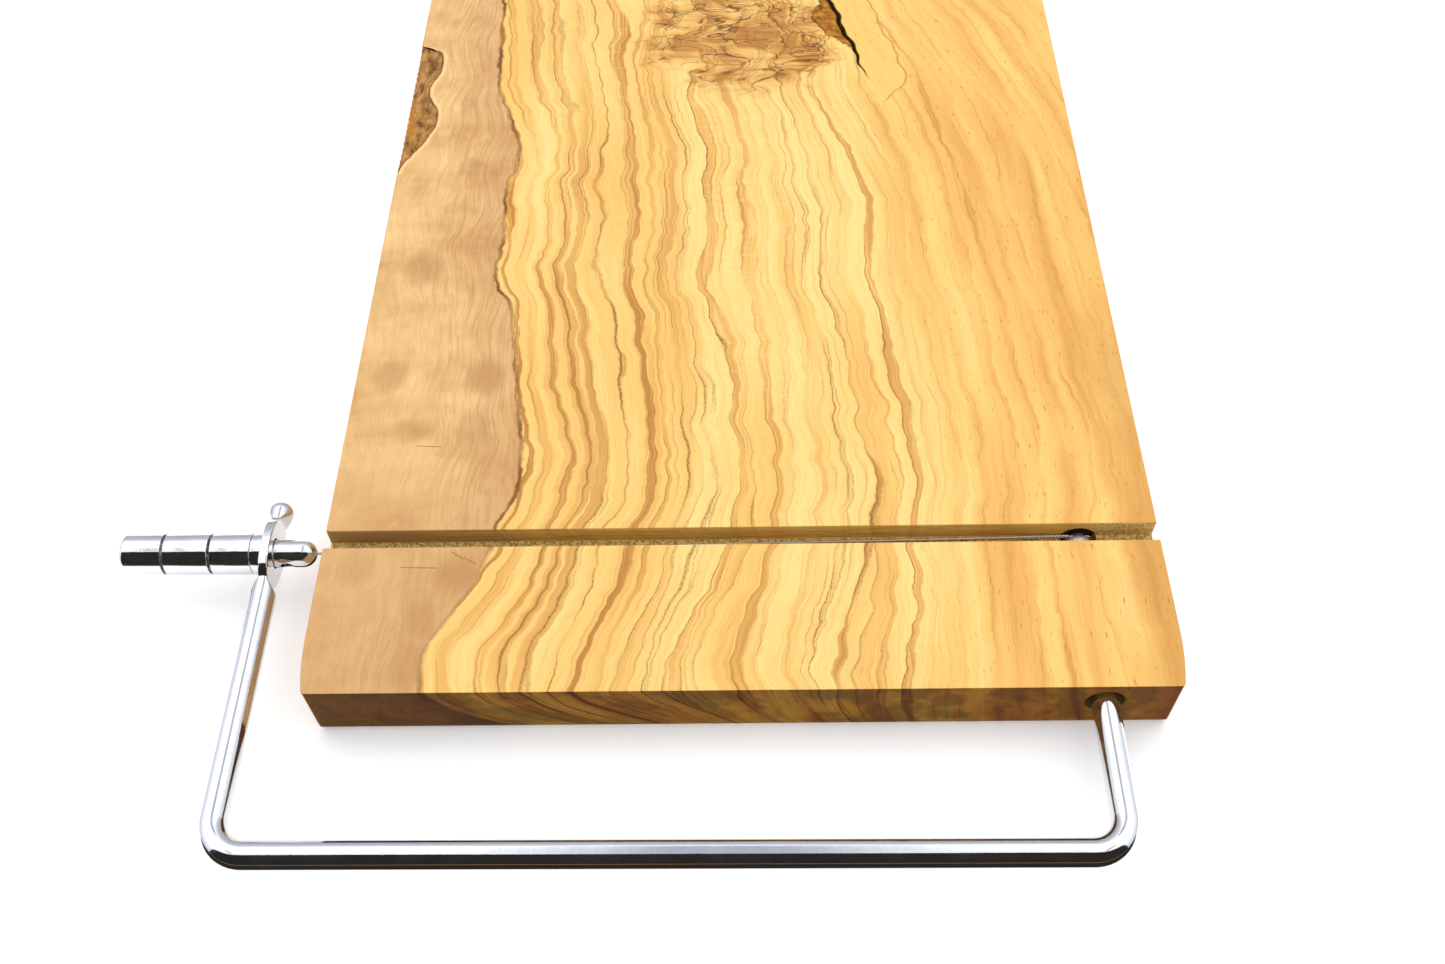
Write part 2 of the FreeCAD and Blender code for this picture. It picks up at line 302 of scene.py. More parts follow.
# Board. One slab of oiled olive wood, planed, eased at its lower edges and front corners, with a sawn
# cross groove, a drilled bore for the rod, a patch of bark on its left edge and a crack by a knot.
# The pattern in the wood and the bow's line are in millimetres, and what is cut into the mesh in metres.
board_top = 18.0
groove_span = (-111.0, -106.2)
groove_floor = 12.8
bore_x = 82.0
bore_z = 11.3
crack_foot = (30.5, 101.0)
crack_lean = 0.262
crack_waves = ((0.35, 0.5), (0.9, 0.25))
edge_round = 0.00035
crack_ends = (0.058, 0.119)
crack_half_width = 0.00065
crack_depth = 0.0016
bark_span = (0.020, 0.080)
bark_widths = [(0.0, 0.0), (0.06, 0.08), (0.14, 0.33), (0.29, 0.74), (0.42, 0.90), (0.56, 0.62),
               (0.64, 0.50), (0.80, 0.76), (0.92, 0.72), (0.97, 0.42), (1.0, 0.0)]
bark_reach = 0.010


def crack_middle(y):
    """Where the crack runs across the board, for a place along it, in millimetres."""
    middle = crack_foot[0] + crack_lean * (crack_foot[1] - y)
    for rate, size in crack_waves:
        middle += size * math.sin(rate * y)
    return middle


def closed_mesh(name, points, faces):
    """A closed mesh in metres, with its faces turned outwards."""
    work = bmesh.new()
    corners = [work.verts.new(point) for point in points]
    for face in faces:
        work.faces.new([corners[index] for index in face])
    bmesh.ops.remove_doubles(work, verts=work.verts, dist=1e-7)
    bmesh.ops.recalc_face_normals(work, faces=work.faces)
    mesh = bpy.data.meshes.new(name)
    work.to_mesh(mesh)
    work.free()
    return mesh


def crack_cutter(stations=40):
    """A long thin wedge that opens the crack."""
    points = []
    for step in range(stations + 1):
        share = step / stations
        y = crack_ends[0] + share * (crack_ends[1] - crack_ends[0])
        width = crack_half_width * math.sin(math.pi * share) ** 0.6 + 0.00002
        width *= 1.0 + 0.25 * math.sin(2100 * y) + 0.15 * math.sin(5300 * y)
        middle = crack_middle(1000 * y) / 1000
        points += [(middle - width, y, 0.0183), (middle + width, y, 0.0183),
                   (middle + 0.3 * width, y, 0.018 - crack_depth * math.sin(math.pi * share) - 0.00005)]
    faces = [(0, 1, 2), (3 * stations, 3 * stations + 1, 3 * stations + 2)]
    for step in range(stations):
        for side in range(3):
            here = 3 * step + side
            beside = 3 * step + (side + 1) % 3
            faces.append((here, beside, beside + 3, here + 3))
    return closed_mesh("crack_cutter", points, faces)


def bark_width(share):
    """Width of the bark patch at a share of its length."""
    for (low, first), (high, second) in zip(bark_widths, bark_widths[1:]):
        if share <= high:
            return bark_reach * (first + (second - first) * (share - low) / (high - low))
    return 0.0


def bark_cutter(rows=72, columns=18):
    """A shallow rough-floored block that takes the bark patch down below the top."""
    points = []
    for level in (0, 1):
        for row in range(rows + 1):
            share = row / rows
            y = bark_span[0] + share * (bark_span[1] - bark_span[0])
            width = bark_width(share) + 0.00015 * math.sin(900 * y) + 0.0001 * math.sin(2700 * y + 1)
            for column in range(columns + 1):
                inward = column / columns
                x = -0.1008 + inward * max(width + 0.0008, 0.0009)
                rough = (math.sin(1500 * x + 900 * y) * math.sin(700 * y - 2300 * x)
                         + 0.6 * math.sin(3100 * y + 1700 * x))
                worn_off = 0.0007 * (1 - inward) ** 3 * (1 + 0.7 * math.sin(2300 * y))
                floor = 0.01755 + 0.00016 * rough - worn_off
                points.append((x, y, 0.0185 if level else min(floor, 0.01792)))
    across = columns + 1
    layer = across * (rows + 1)
    faces = []
    for row in range(rows):
        for column in range(columns):
            here = row * across + column
            faces.append((here, here + 1, here + 1 + across, here + across))
            faces.append((layer + here, layer + here + across, layer + here + 1 + across, layer + here + 1))
    for row in range(rows):
        for here in (row * across, row * across + columns):
            faces.append((here, here + across, layer + here + across, layer + here))
    for column in range(columns):
        for here in (column, rows * across + column):
            faces.append((here, here + 1, layer + here + 1, layer + here))
    return closed_mesh("bark_cutter", points, faces)


def settled(body):
    """The mesh of a body with its modifiers worked in."""
    bpy.context.view_layer.update()
    return bpy.data.meshes.new_from_object(body.evaluated_get(bpy.context.evaluated_depsgraph_get()))


def carve(body, cutters):
    """Take the cutters out of a body and keep the result as its plain mesh."""
    tools = [show(cutter.name, cutter) for cutter in cutters]
    for tool in tools:
        cut = body.modifiers.new(tool.name, "BOOLEAN")
        cut.operation = "DIFFERENCE"
        cut.solver = "EXACT"
        cut.object = tool
    made = settled(body)
    body.modifiers.clear()
    body.data = made
    for tool in tools:
        bpy.data.objects.remove(tool)


def worn_slab():
    """The slab from the CAD, with its sharp edges rubbed round."""
    work = bmesh.new()
    work.from_mesh(nodes["board"].data)
    bmesh.ops.remove_doubles(work, verts=work.verts, dist=1e-6)
    bmesh.ops.dissolve_limit(work, angle_limit=math.radians(1.0), verts=work.verts, edges=work.edges)
    sharp = []
    for edge in work.edges:
        middle = (edge.verts[0].co + edge.verts[1].co) / 2
        by_bore = math.hypot(middle.x - bore_x / 1000, middle.z - bore_z / 1000) < 0.0065
        if not by_bore and edge.is_manifold and edge.calc_face_angle(0.0) > math.radians(35):
            sharp.append(edge)
    bmesh.ops.bevel(work, geom=sharp, offset=edge_round, segments=3, profile=0.5, affect="EDGES",
                    clamp_overlap=True)
    mesh = bpy.data.meshes.new("board_slab")
    work.to_mesh(mesh)
    work.free()
    return mesh


def keep_flat(mesh, wide_face=4e-5):
    """Part the shading of wide flat faces from the small faces round them."""
    work = bmesh.new()
    work.from_mesh(mesh)
    for edge in work.edges:
        if any(face.calc_area() > wide_face for face in edge.link_faces):
            if not edge.is_manifold or edge.calc_face_angle(0.0) > math.radians(1.5):
                edge.smooth = False
    work.to_mesh(mesh)
    work.free()


def grain_tone(red, green, blue):
    """A wood colour as it looks on the lit board; the light is stronger than one, so it is toned down."""
    seen = tone(red, green, blue)
    return (seen[0] / 1.26, seen[1] / 1.30, seen[2] / 1.36, 1.0)


def lay_of_grain(wood, x, y, z):
    """Distance from the tan wood's edge, distance across the rings, and how gnarled the grain is."""
    # The line where the tan outer wood ends, which the rest of the grain follows.
    along = wood.math("MULTIPLY_ADD", y, 1.0 / 320.0, 0.5, clamp=True)
    edge = wood.curve(along, [(0.0, 0.19), (0.03, 0.20), (0.055, 0.19), (0.083, 0.27), (0.105, 0.36),
                              (0.125, 0.45), (0.17, 0.53), (0.22, 0.64), (0.28, 0.59), (0.35, 0.51),
                              (0.395, 0.46), (0.442, 0.325), (0.46, 0.345), (0.55, 0.33), (0.575, 0.39),
                              (0.63, 0.31), (0.70, 0.16), (0.82, 0.11), (1.0, 0.05)])
    edge = wood.math("MULTIPLY_ADD", edge, 40.0, -80.0)

    # The rings dive to the right below the top face.
    depth = wood.less(board_top, z)
    dive = wood.times(depth, wood.math("MULTIPLY_ADD", depth, 0.045, 0.35))
    dive = wood.times(dive, wood.smooth(x, -30.0, 45.0, 1.0, 0.08))
    fan = wood.math("MAXIMUM", wood.add(y, 40.0), 0.0)
    shear = wood.add(wood.times(fan, fan, 1.0 / 850.0), wood.times(y, 0.03))
    shear = wood.times(shear, wood.smooth(x, -20.0, 45.0))
    across = wood.add(wood.less(x, dive), shear)

    # Waves in the grain, and the gnarl round the knot.
    gnarl_x = wood.times(wood.less(x, 3.0), 1 / 34.0)
    gnarl_y = wood.times(wood.less(y, 82.0), 1 / 30.0)
    from_knot = wood.add(wood.times(gnarl_x, gnarl_x), wood.times(gnarl_y, gnarl_y))
    from_knot = wood.add(from_knot, wood.sway(wood.noise(x, y, z, (13, 8, 12), 2.0), 0.7))
    gnarl = wood.smooth(from_knot, 1.05, 0.35)
    broad = wood.sway(wood.noise(x, y, z, (60, 42, 60)), 5.0)
    wave = wood.sway(wood.noise(x, y, z, (40, 11, 30), 1.0), 2.6)
    ripple = wood.sway(wood.noise(x, y, z, (9, 4.5, 9), 2.0), 0.8)
    knotty = wood.sway(wood.noise(x, y, z, (15, 12.5, 20), 1.6, 0.5), 21.0)
    calm = wood.smooth(x, 20.0, 70.0, 1.0, 0.55)
    bend = wood.times(wood.add(broad, wave), calm)
    bend = wood.add(bend, ripple, wood.times(knotty, gnarl))

    # Distance from the tan wood's edge, and from there to the right side, as one measure.
    offset = wood.less(across, edge)
    spread = wood.math("DIVIDE", 158.0, wood.less(100.0, edge))
    inner = wood.add(wood.times(offset, spread), bend)
    near_edge = wood.add(wood.less(wood.less(x, dive), edge), wood.times(wave, 0.3),
                         wood.sway(wood.noise(x, y, z, (4, 4, 5), 3.0, 0.6), 1.3))
    return near_edge, inner, shear, gnarl, knotty


def growth_rings(wood, x, y, z, inner, shear, gnarl):
    """The rings' colour. Each opens with a dark line, then a brown band that swells and pinches out
    along the grain, and then pale wood; finer rings run between."""

    def luck(number, seed):
        """A fixed random share for each whole number."""
        draw = wood.tree.nodes.new("ShaderNodeTexWhiteNoise")
        draw.noise_dimensions = "1D"
        wood.put(draw.inputs["W"], wood.add(number, seed))
        return draw.outputs["Value"]

    wander = wood.sway(wood.noise(inner, y, z, (15, 80, 60), 1.0), 1.0)
    merge = wood.sway(wood.noise(inner, y, z, (5, 40, 30), 1.0), 0.36)
    wide = wood.add(wood.times(inner, 1 / 5.4), wander, merge)
    wide_share = wood.math("FRACT", wide)
    wide_number = wood.math("FLOOR", wide)
    narrow = wood.add(wood.times(inner, 1 / 2.4), wood.times(wander, 1.7),
                      wood.sway(wood.noise(inner, y, z, (6, 60, 30), 1.0), 0.9))
    narrow_share = wood.math("FRACT", narrow)
    narrow_number = wood.math("FLOOR", narrow)
    patch = wood.noise(inner, y, z, (13, 90, 40), 1.0)
    swell = wood.sway(wood.noise(inner, y, z, (7, 24, 16), 1.0), 0.34)
    band_end = wood.add(wood.times(luck(wide_number, 7.0), 0.56), swell)
    past_band = wood.less(band_end, wide_share)
    threads = wood.noise(inner, y, z, (0.8, 50, 30), 2.0, 0.6)
    band = wood.times(wood.smooth(past_band, -0.02, 0.07), wood.smooth(threads, 0.30, 0.62, 0.55, 1.15),
                      wood.smooth(luck(wide_number, 19.0), 0.0, 1.0, 0.16, 0.58))
    tint = wood.add(wood.times(luck(wide_number, 3.0), 0.22), band, 0.09, wood.sway(threads, 0.16),
                    wood.times(luck(narrow_number, 11.0), wood.smooth(patch, 0.35, 0.65, 0.10, 0.34)),
                    wood.times(wood.less(patch, 0.5), 0.7),
                    wood.times(wood.math("POWER", wide_share, 3.0), 0.14))
    knot_tone = wood.smooth(wood.noise(x, y, z, (16, 9, 12), 1.0), 0.34, 0.66, 0.10, 0.70)
    tint = wood.add(tint, wood.times(gnarl, knot_tone))
    heart = wood.ramp(tint, [(0.08, grain_tone(254, 224, 148)), (0.30, grain_tone(252, 214, 134)),
                             (0.46, grain_tone(247, 203, 122)), (0.64, grain_tone(235, 186, 108)),
                             (0.86, grain_tone(212, 160, 88)), (1.0, grain_tone(192, 138, 74))])
    streaks = wood.noise(inner, y, z, (11, 150, 40), 2.0, 0.6)
    outer = wood.ramp(wood.add(wood.times(tint, 0.34), 0.05, streaks),
                      [(0.40, grain_tone(255, 220, 142)), (0.60, grain_tone(250, 204, 122)),
                       (0.80, grain_tone(236, 182, 104)), (0.95, grain_tone(216, 160, 86))])
    to_right = wood.less(inner, shear)
    inside = wood.mix(wood.smooth(to_right, 94.0, 122.0), heart, outer)

    # The dark lines, which fade in and out along the grain and give way to the quieter wood at the right.
    wide_line = wood.level(wide_share, [(0.0, 1.0), (0.045, 0.85), (0.08, 0.2), (0.13, 0.0), (0.965, 0.0),
                                        (1.0, 0.8)])
    far_line = wood.times(wood.smooth(wood.math("ABSOLUTE", past_band), 0.065, 0.02),
                          wood.smooth(band_end, 0.06, 0.14), 0.55)
    narrow_line = wood.level(narrow_share, [(0.0, 0.8), (0.13, 0.30), (0.24, 0.0), (0.92, 0.0), (1.0, 0.7)])
    pulse = wood.smooth(wood.noise(inner, y, z, (4, 22, 12), 1.0), 0.32, 0.66, 0.25, 1.0)
    bold = wood.smooth(luck(wide_number, 27.0), 0.05, 0.75, 0.15, 1.0)
    slight = wood.smooth(luck(narrow_number, 41.0), 0.40, 0.95, 0.0, 0.85)
    lines = wood.math("MAXIMUM", wood.times(wide_line, bold), wood.times(narrow_line, slight))
    lines = wood.math("MAXIMUM", lines, wood.times(far_line, bold))
    grainy = wood.smooth(wood.noise(x, y, z, (0.35, 0.8, 0.5), 1.0), 0.34, 0.62, 0.55, 1.15)
    lines = wood.times(lines, wood.math("MAXIMUM", pulse, gnarl), grainy,
                       wood.smooth(to_right, 94.0, 122.0, 1.0, 0.15))
    brown = wood.mix(wood.noise(x, y, z, (12, 25, 12)), grain_tone(112, 74, 40), grain_tone(164, 116, 62))
    inside = wood.mix(wood.math("MINIMUM", lines, 0.90), inside, brown)
    inside = wood.mix(wood.times(gnarl, 0.22), inside, grain_tone(188, 128, 64))
    return inside, patch


def gnarl_marks(wood, x, y, z, inside, patch, gnarl, knotty):
    """Cross streaks and fine folds over the gnarl, pale cross ripples elsewhere as painted sheen on the curly
    figure, and a darker right edge.
    """
    streak = wood.smooth(wood.noise(x, y, z, (17, 1.8, 14), 2.0, 0.6), 0.50, 0.66)
    inside = wood.mix(wood.times(streak, gnarl, 0.45), inside, grain_tone(160, 106, 54))
    bent_x = wood.add(x, wood.times(knotty, 0.4))
    for steps, reach, strength in (((13, 9, 9), 0.017, 0.85), ((24, 6, 9), 0.012, 0.65)):
        folds = wood.noise(bent_x, y, z, steps, 2.0, 0.45)
        crazing = wood.math("ABSOLUTE", wood.less(folds, 0.5))
        crazing = wood.times(wood.smooth(crazing, reach, 0.003), gnarl, strength)
        inside = wood.mix(crazing, inside, grain_tone(104, 66, 34))
    # Painted sheen: pale cross ripples where the curly figure catches the light.
    curl_highlight = wood.noise(x, y, z, (9, 1.6, 9), 1.0)
    curl_highlight = wood.times(wood.smooth(curl_highlight, 0.48, 0.75), wood.smooth(patch, 0.55, 0.40, 0.0, 0.24),
                         wood.smooth(x, 30.0, 10.0))
    inside = wood.mix(curl_highlight, inside, grain_tone(255, 230, 168))

    by_right = wood.add(x, wood.sway(wood.noise(x, y, z, (14, 22, 14), 2.0), 9.0))
    right_shade = wood.smooth(by_right, 86.0, 99.0, 0.0, 0.55)
    right_shade = wood.times(right_shade, wood.smooth(y, -20.0, -60.0, 0.15, 1.0))
    return wood.mix(right_shade, inside, grain_tone(204, 150, 82))


def crack_and_amber(wood, x, y, z, inside, jag):
    """The crack, painted near black inside as shade, with an amber knot at its left and a pale tongue of wood
    at its right.
    """
    waves = [wood.times(wood.math("SINE", wood.times(y, rate)), size) for rate, size in crack_waves]
    crack = wood.add(wood.times(wood.less(crack_foot[1], y), crack_lean), crack_foot[0], *waves)
    from_crack = wood.less(x, crack)
    tongue_width = wood.times(wood.smooth(y, 45.0, 64.0), 12.5)
    tongue = wood.less(tongue_width, wood.add(from_crack, wood.times(jag, 0.25)))
    tongue_inside = wood.times(wood.smooth(tongue, -0.1, 0.2), wood.smooth(from_crack, -0.2, 0.4))
    inside = wood.mix(wood.times(tongue_inside, 0.85), inside, grain_tone(251, 208, 122))
    outline = wood.times(wood.smooth(wood.math("ABSOLUTE", tongue), 0.5, 0.1), wood.smooth(y, 47.0, 52.0),
                         wood.smooth(from_crack, 0.0, 1.0))
    inside = wood.mix(wood.times(outline, 0.6), inside, grain_tone(176, 112, 48))
    amber_reach = wood.times(wood.smooth(y, 74.0, 88.0), wood.smooth(y, 108.0, 92.0), 7.4)
    amber = wood.add(amber_reach, from_crack, wood.sway(wood.noise(x, y, z, (5, 4, 4), 2.0, 0.6), 4.5))
    amber_inside = wood.times(wood.smooth(amber, 0.0, 0.25), wood.smooth(from_crack, 0.3, -0.1),
                              wood.smooth(amber_reach, 0.2, 0.8))
    rust = wood.ramp(wood.noise(x, y, z, (2.6, 2.0, 3), 3.0, 0.7),
                     [(0.30, grain_tone(84, 56, 18)), (0.48, grain_tone(168, 108, 36)),
                      (0.66, grain_tone(206, 148, 58))])
    inside = wood.mix(amber_inside, inside, rust)
    amber_rim = wood.times(wood.smooth(wood.math("ABSOLUTE", amber), 0.45, 0.1),
                           wood.smooth(amber_reach, 0.5, 1.5), wood.smooth(from_crack, 0.3, -0.1))
    inside = wood.mix(wood.times(amber_rim, 0.85), inside, grain_tone(92, 54, 20))
    # Painted shade in the crack: near black with olive flecks, where the crack opens widest.
    crack_width = wood.times(wood.smooth(y, 55.0, 84.0), wood.smooth(y, 121.0, 104.0), 0.80)
    crack_dark = wood.smooth(wood.less(crack_width, wood.math("ABSOLUTE", from_crack)), -0.35, 0.15)
    crack_dark = wood.times(crack_dark, wood.smooth(crack_width, 0.0, 0.3))
    crack_shadow_tone = wood.ramp(wood.noise(x, y, z, (0.8, 1.6, 1.5), 2.0, 0.6),
                     [(0.40, grain_tone(26, 22, 14)), (0.62, grain_tone(62, 58, 26)),
                      (0.8, grain_tone(110, 92, 40))])
    return wood.mix(crack_dark, inside, crack_shadow_tone)


tan_stains = ((-87, -18, 7, 9, 0.5), (-92, -58, 6, 7, 0.5), (-84, -76, 8, 5, 0.4), (-66, -58, 7, 8, 0.55),
              (-68, -77, 6, 9, 0.4), (-78, 23, 5, 5, 0.35), (-91, -117, 6, 7, 0.4), (-67, -119, 7, 6, 0.75),
              (-74, -131, 5, 7, 0.65), (-75, -143, 5, 8, 0.6))


def tan_wood(wood, x, y, z, near_edge):
    """The tan outer wood at the left, finely haired, curly, and stained in soft blotches."""
    swirl = wood.sway(wood.noise(x, y, z, (34, 30, 20), 1.0), 8.0)
    mottle = wood.noise(x, y, z, (18, 15, 14), 3.0, 0.6)
    curl = wood.noise(x, y, z, (26, 6, 20), 1.0)
    left = wood.ramp(wood.add(wood.times(mottle, 0.80), wood.times(curl, 0.20)),
                     [(0.28, grain_tone(204, 156, 104)), (0.42, grain_tone(224, 182, 126)),
                      (0.54, grain_tone(236, 196, 139)), (0.70, grain_tone(246, 210, 152))])
    by_edge = wood.smooth(near_edge, -30.0, -8.0, 0.30, 1.0)
    for steps, depth_of in (((0.6, 11, 4), 0.40), ((1.6, 22, 4), 0.24)):
        hair = wood.noise(wood.add(x, swirl), y, z, steps, 2.0, 0.6)
        left = wood.mix(wood.times(wood.smooth(hair, 0.44, 0.66, 0.0, depth_of), by_edge), left,
                        grain_tone(178, 132, 86))
    stain = 0.0
    for middle_x, middle_y, reach_x, reach_y, strength in tan_stains:
        off_x = wood.times(wood.less(wood.add(x, wood.times(swirl, 0.4)), middle_x), 1.0 / reach_x)
        off_y = wood.times(wood.less(wood.add(y, wood.times(swirl, 0.3)), middle_y), 1.0 / reach_y)
        away = wood.add(wood.times(off_x, off_x), wood.times(off_y, off_y))
        spot = wood.smooth(away, 1.0, 0.05, 0.0, strength)
        stain = wood.math("MAXIMUM", stain, spot)
    left = wood.mix(stain, left, grain_tone(180, 134, 90))
    edge_shade = wood.smooth(near_edge, -17.0, -1.0, 0.0, 0.30)
    left = wood.mix(edge_shade, left, grain_tone(196, 148, 104))
    return wood.mix(wood.smooth(y, -60.0, -125.0, 0.0, 0.50), left, grain_tone(200, 156, 108))


def bark_patch(wood, x, y, z, left, jag):
    """Bark caught in the left edge, with a dark rim and a pale line round it."""
    first, last = 1000 * bark_span[0], 1000 * bark_span[1]
    bark_along = wood.math("MULTIPLY_ADD", y, 1.0 / (last - first), -first / (last - first), clamp=True)
    bark_edge = wood.times(wood.curve(bark_along, bark_widths), 1000 * bark_reach)
    bark = wood.add(wood.less(bark_edge, wood.add(x, 100.0)), wood.times(jag, 0.2))
    in_span = wood.times(wood.smooth(y, first, first + 0.6), wood.smooth(y, last, last - 0.6))
    bark_inside = wood.times(wood.smooth(bark, -0.1, 0.15), in_span)
    halo = wood.times(wood.smooth(wood.math("ABSOLUTE", wood.add(bark, 0.8)), 0.9, 0.3), in_span)
    left = wood.mix(wood.times(halo, 0.75), left, grain_tone(252, 218, 158))
    crust = wood.ramp(wood.noise(x, y, z, (2.4, 5.0, 2), 3.0, 0.65),
                      [(0.34, grain_tone(104, 66, 34)), (0.47, grain_tone(160, 116, 68)),
                       (0.62, grain_tone(196, 150, 92))])
    chips = wood.times(wood.smooth(wood.noise(x, y, z, (1.6, 2.6, 1.5), 1.0), 0.48, 0.60),
                       wood.smooth(x, -96.2, -98.2), wood.smooth(y, 56.0, 46.0))
    crust = wood.mix(chips, crust, grain_tone(186, 122, 52))
    left = wood.mix(bark_inside, left, crust)
    bark_rim = wood.times(wood.smooth(wood.math("ABSOLUTE", bark), 0.55, 0.1), in_span)
    return wood.mix(wood.times(bark_rim, 0.8), left, grain_tone(110, 68, 34))


knife_cuts = ((-80.7, -116.7, -71.4, -117.0), (-68.9, -112.4, -65.6, -114.6),
              (-65.9, -114.0, -62.2, -116.2), (-81.7, -80.5, -74.7, -80.9))


def knife_marks(wood, x, y, colour):
    """Shallow knife marks on the tan wood."""
    for start_x, start_y, end_x, end_y in knife_cuts:
        length = math.hypot(end_x - start_x, end_y - start_y)
        run_x = (end_x - start_x) / length
        run_y = (end_y - start_y) / length
        from_x = wood.less(x, start_x)
        from_y = wood.less(y, start_y)
        run = wood.add(wood.times(from_x, run_x), wood.times(from_y, run_y))
        side = wood.less(wood.times(from_x, run_y), wood.times(from_y, run_x))
        mark = wood.times(wood.smooth(wood.math("ABSOLUTE", side), 0.24, 0.08), wood.smooth(run, 0.0, 0.6),
                          wood.smooth(run, length, length - 0.6))
        colour = wood.mix(wood.times(mark, 0.7), colour, grain_tone(150, 106, 48))
    return colour


def cut_faces(wood, x, y, z, inner, near_edge, colour):
    """Cut ends of the fibres drink more oil and are darker, and the faces across the grain are painted darker
    still as shade. The groove is sawn, and rough on its floor.
    """
    facing = wood.tree.nodes.new("ShaderNodeNewGeometry").outputs["Normal"]
    _, towards_end, _ = wood.split(facing)
    end_grain = wood.smooth(wood.math("ABSOLUTE", towards_end), 0.5, 0.85)
    sawn = wood.times(wood.smooth(y, groove_span[0] - 1.0, groove_span[0]),
                      wood.smooth(y, groove_span[1] + 1.2, groove_span[1] + 0.2))
    # Faces across the grain: darker from the oil they drink, and darker still with painted shade.
    deep = wood.tree.nodes.new("ShaderNodeGamma")
    wood.put(deep.inputs[0], colour)
    wood.put(deep.inputs[1], 2.0)
    cut_end_and_shade = wood.mix(1.0, deep.outputs[0], (0.455, 0.49, 0.46, 1), "MULTIPLY")
    soaked = wood.noise(inner, y, z, (6.5, 12, 7), 2.0, 0.6)
    soaked = wood.math("MAXIMUM", wood.smooth(soaked, 0.60, 0.40, 0.06, 0.52),
                       wood.smooth(near_edge, 0.4, -0.4, 0.0, 0.30))
    cut_end_and_shade = wood.mix(soaked, cut_end_and_shade, (0.030, 0.013, 0.003, 1))

    # The groove's walls show saw marks, and its floor and its right end are rough with torn fibres.
    speckle = wood.noise(x, y, z, (0.6, 0.6, 0.6), 2.0, 0.7)
    wall = wood.mix(wood.smooth(x, -92.0, -30.0), grain_tone(166, 132, 70), grain_tone(216, 172, 84))
    torn = wood.smooth(wood.add(x, wood.sway(speckle, 3.0)), 80.0, 88.0)
    wall = wood.mix(torn, wall, wood.mix(wood.smooth(speckle, 0.38, 0.62), grain_tone(176, 134, 62),
                                         grain_tone(250, 226, 150)))
    saw_marks = wood.noise(x, y, z, (14, 0.8, 0.45), 2.0, 0.7)
    wall = wood.mix(wood.smooth(saw_marks, 0.38, 0.66, 0.0, 0.50), wall, grain_tone(132, 96, 44))
    cut_end_and_shade = wood.mix(sawn, cut_end_and_shade, wood.mix(0.18, wall, colour))
    colour = wood.mix(end_grain, colour, cut_end_and_shade)
    floor = wood.times(sawn, wood.smooth(z, groove_floor + 1.4, groove_floor + 0.6),
                       wood.smooth(end_grain, 0.6, 0.2))
    colour = wood.mix(floor, colour, wood.mix(wood.smooth(speckle, 0.36, 0.62), grain_tone(158, 122, 62),
                                              grain_tone(232, 202, 136)))
    rough = wood.add(wood.times(saw_marks, wood.times(sawn, 2.0)), wood.times(speckle, floor, 6.0))
    return colour, rough


def bore_mouth_shade(wood, x, y, z, colour):
    """Painted shade at the bore: its worn mouth is painted dark, darkest at its lower side and lighter on top
    where the light falls, and the bore is painted dark inside as shadow.
    """
    out_x = wood.less(x, bore_x)
    out_z = wood.less(z, bore_z)
    from_bore = wood.math("SQRT", wood.add(wood.times(out_x, out_x), wood.times(out_z, out_z)))
    # Painted shade on the bore's worn mouth: darkest at its lower side, lighter on top where the light falls.
    mouth_shade_mask = wood.times(wood.smooth(from_bore, 4.75, 4.45), wood.smooth(y, -112.0, -113.0))
    mouth_shade_tone = wood.mix(wood.smooth(out_z, 1.5, 3.5), grain_tone(66, 46, 24), grain_tone(150, 112, 58))
    colour = wood.mix(wood.times(mouth_shade_mask, 0.9), colour, mouth_shade_tone)
    # Painted shadow inside the bore.
    bore_inside_shade = wood.times(wood.smooth(from_bore, 4.6, 4.1), wood.smooth(y, -113.0, -112.0))
    return wood.mix(wood.times(bore_inside_shade, 0.75), colour, grain_tone(74, 54, 26))


